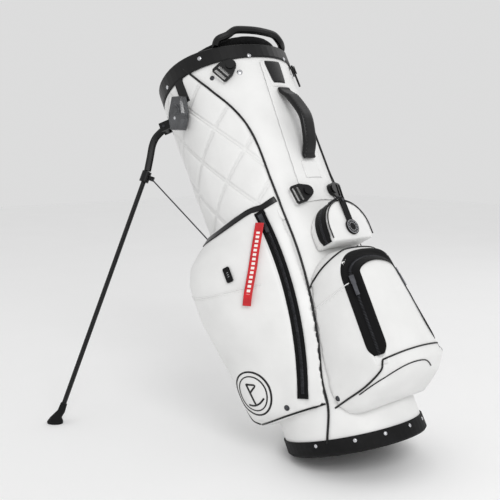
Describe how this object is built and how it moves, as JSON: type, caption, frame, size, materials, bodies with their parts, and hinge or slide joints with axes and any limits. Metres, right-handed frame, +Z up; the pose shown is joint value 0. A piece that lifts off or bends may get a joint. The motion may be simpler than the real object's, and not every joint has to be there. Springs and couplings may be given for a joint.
{
  "type": "golf stand bag",
  "caption": "Upright golf club bag with a hooped grab handle, zipped pockets and a moulded boot, leaning back on two splayed folding legs tied by wires to a sliding yoke.",
  "frame": {"origin": "middle of the flat on the heel of the boot, on the ground", "axes": "+Z up; +X towards the side the bag's spine and ball pocket face, away from the legs; -Y towards the side with the ribbon"},
  "size_m": [0.7194, 0.717, 0.8452],
  "materials": {
    "white_shell": "smooth coated white synthetic leather",
    "black_moulding": "satin black moulded plastic",
    "black_mesh_fabric": "black padded mesh",
    "black_leather": "smooth black synthetic leather",
    "zip_tape": "black water-resistant zip tape",
    "carbon_tube": "dark woven composite, satin",
    "dark_steel": "blackened steel",
    "rubber_sole": "matt black rubber",
    "smoke_plastic": "smoke-grey clear plastic",
    "red_ribbon": "red woven ribbon with plain white bars"
  },
  "bodies": {
    "bag": {"bag_body": "white_shell", "base_boot": "rubber_sole", "top_cuff": "black_moulding", "cuff_hoop_handle": "black_moulding", "club_divider": "black_mesh_fabric", "divider_crown": "black_mesh_fabric", "stay_near": "carbon_tube", "stay_far": "carbon_tube", "hip_pad": "black_mesh_fabric", "stand_bracket": "black_moulding", "near_pivot_pin": "dark_steel", "far_pivot_pin": "dark_steel", "rod_sleeve": "black_moulding", "near_side_pocket": "white_shell", "near_pocket_zip": "zip_tape", "far_side_pocket": "white_shell", "far_pocket_zip": "zip_tape", "accessory_pocket": "white_shell", "accessory_zip": "zip_tape", "ball_pocket": "white_shell", "ball_zip": "zip_tape", "spine_panel": "white_shell", "spine_patch": "black_leather", "carry_handle": "black_leather", "strap_stud_upper_near": "black_moulding", "strap_stud_upper_far": "black_moulding", "strap_stud_lower_near": "black_moulding", "strap_stud_lower_far": "black_moulding", "case_clip": "black_moulding", "pocket_badge": "rubber_sole"},
    "near_leg": {"near_leg_elbow": "black_moulding", "near_leg_collar": "black_moulding", "near_leg_tube": "carbon_tube", "near_leg_foot": "rubber_sole"},
    "near_wire": {"near_stay_wire": "dark_steel"},
    "far_leg": {"far_leg_elbow": "black_moulding", "far_leg_collar": "black_moulding", "far_leg_tube": "carbon_tube", "far_leg_foot": "rubber_sole"},
    "far_wire": {"far_stay_wire": "dark_steel"},
    "yoke": {"stand_yoke": "black_moulding", "stand_rod": "dark_steel"},
    "strap_loop_upper_near": {"strap_loop_upper_near": "black_moulding"},
    "strap_loop_upper_far": {"strap_loop_upper_far": "black_moulding"},
    "strap_loop_lower_near": {"strap_loop_lower_near": "black_moulding"},
    "strap_loop_lower_far": {"strap_loop_lower_far": "black_moulding"},
    "hard_case": {"clip_case": "smoke_plastic"},
    "near_zip": {"near_zip_pull": "dark_steel"},
    "ribbon": {"pull_ribbon": "red_ribbon"},
    "far_zip": {"far_zip_pull": "dark_steel"},
    "accessory_slider": {"accessory_zip_pull": "dark_steel"},
    "disc": {"pull_disc": "rubber_sole"},
    "near_ball_slider": {"near_ball_zip_pull": "dark_steel"},
    "far_ball_slider": {"far_ball_zip_pull": "dark_steel"}
  },
  "joints": [
    {"name": "near_leg_fold", "type": "hinge", "parent": "bag", "child": "near_leg", "pos_m": [-0.37643, -0.085, 0.63921], "axis": [0.5444, -0.7966, 0.2628], "range_deg": [0, 39.48]},
    {"name": "near_wire_turn", "type": "hinge", "parent": "near_leg", "child": "near_wire", "pos_m": [-0.3777, -0.12293, 0.52684], "axis": [0.5444, -0.7966, 0.2628], "range_deg": [-57.42, 0]},
    {"name": "far_leg_fold", "type": "hinge", "parent": "bag", "child": "far_leg", "pos_m": [-0.37643, 0.085, 0.63921], "axis": [-0.5444, -0.7966, -0.2628], "range_deg": [0, 39.49]},
    {"name": "far_wire_turn", "type": "hinge", "parent": "far_leg", "child": "far_wire", "pos_m": [-0.3777, 0.12293, 0.52684], "axis": [-0.5444, -0.7966, -0.2628], "range_deg": [-57.42, 0]},
    {"name": "yoke_slide", "type": "slide", "parent": "bag", "child": "yoke", "axis": [0.4848, 0, -0.8746], "range_m": [0, 0.03725]},
    {"name": "strap_loop_upper_near_swivel", "type": "hinge", "parent": "bag", "child": "strap_loop_upper_near", "pos_m": [-0.15079, -0.09045, 0.75972], "axis": [0.6892, -0.6157, 0.382], "range_deg": [-60, 60]},
    {"name": "strap_loop_upper_far_swivel", "type": "hinge", "parent": "bag", "child": "strap_loop_upper_far", "pos_m": [-0.15079, 0.09045, 0.75972], "axis": [0.6892, 0.6157, 0.382], "range_deg": [-60, 60]},
    {"name": "strap_loop_lower_near_swivel", "type": "hinge", "parent": "bag", "child": "strap_loop_lower_near", "pos_m": [0.01347, -0.03637, 0.51462], "axis": [0.8468, -0.2504, 0.4694], "range_deg": [-60, 60]},
    {"name": "strap_loop_lower_far_swivel", "type": "hinge", "parent": "bag", "child": "strap_loop_lower_far", "pos_m": [0.01347, 0.03637, 0.51462], "axis": [0.8468, 0.2504, 0.4694], "range_deg": [-60, 60]},
    {"name": "case_swing", "type": "hinge", "parent": "bag", "child": "hard_case", "pos_m": [-0.23175, -0.14694, 0.69883], "axis": [0.0914, -0.9945, 0.0507], "range_deg": [-25, 25]},
    {"name": "near_zip_run", "type": "hinge", "parent": "bag", "child": "near_zip", "pos_m": [-0.53878, -0.31523, 0.08036], "axis": [-0.2475, 0.9561, -0.157], "range_deg": [0, 27]},
    {"name": "ribbon_hang", "type": "hinge", "parent": "near_zip", "child": "ribbon", "pos_m": [-0.02626, -0.11971, 0.46306], "axis": [-0.2475, 0.9561, -0.157], "range_deg": [-27.01, 0]},
    {"name": "far_zip_run", "type": "hinge", "parent": "bag", "child": "far_zip", "pos_m": [-0.53878, 0.31523, 0.08036], "axis": [0.2475, 0.9561, 0.157], "range_deg": [0, 27]},
    {"name": "accessory_zip_run", "type": "hinge", "parent": "bag", "child": "accessory_slider", "pos_m": [0.07522, 0, 0.43909], "axis": [0.8746, 0, 0.4848], "range_deg": [-62, 62]},
    {"name": "disc_hang", "type": "hinge", "parent": "accessory_slider", "child": "disc", "pos_m": [0.06966, 0, 0.4982], "axis": [0.8746, 0, 0.4848], "range_deg": [-62.1, 62.1]},
    {"name": "near_ball_zip_run", "type": "slide", "parent": "bag", "child": "near_ball_slider", "axis": [0.5472, -0.1221, -0.8281], "range_m": [0, 0.1096]},
    {"name": "far_ball_zip_run", "type": "slide", "parent": "bag", "child": "far_ball_slider", "axis": [0.5472, 0.1221, -0.8281], "range_m": [0, 0.1096]}
  ],
  "couplings": [
    {"joint": "far_leg_fold", "follows": "near_leg_fold", "ratio": 1},
    {"joint": "near_wire_turn", "follows": "near_leg_fold", "ratio": -1.4537},
    {"joint": "far_wire_turn", "follows": "near_leg_fold", "ratio": -1.4537},
    {"joint": "yoke_slide", "follows": "near_leg_fold", "m_per_rad": 0.053907},
    {"joint": "ribbon_hang", "follows": "near_zip_run", "ratio": -1},
    {"joint": "disc_hang", "follows": "accessory_zip_run", "ratio": -1}
  ]
}
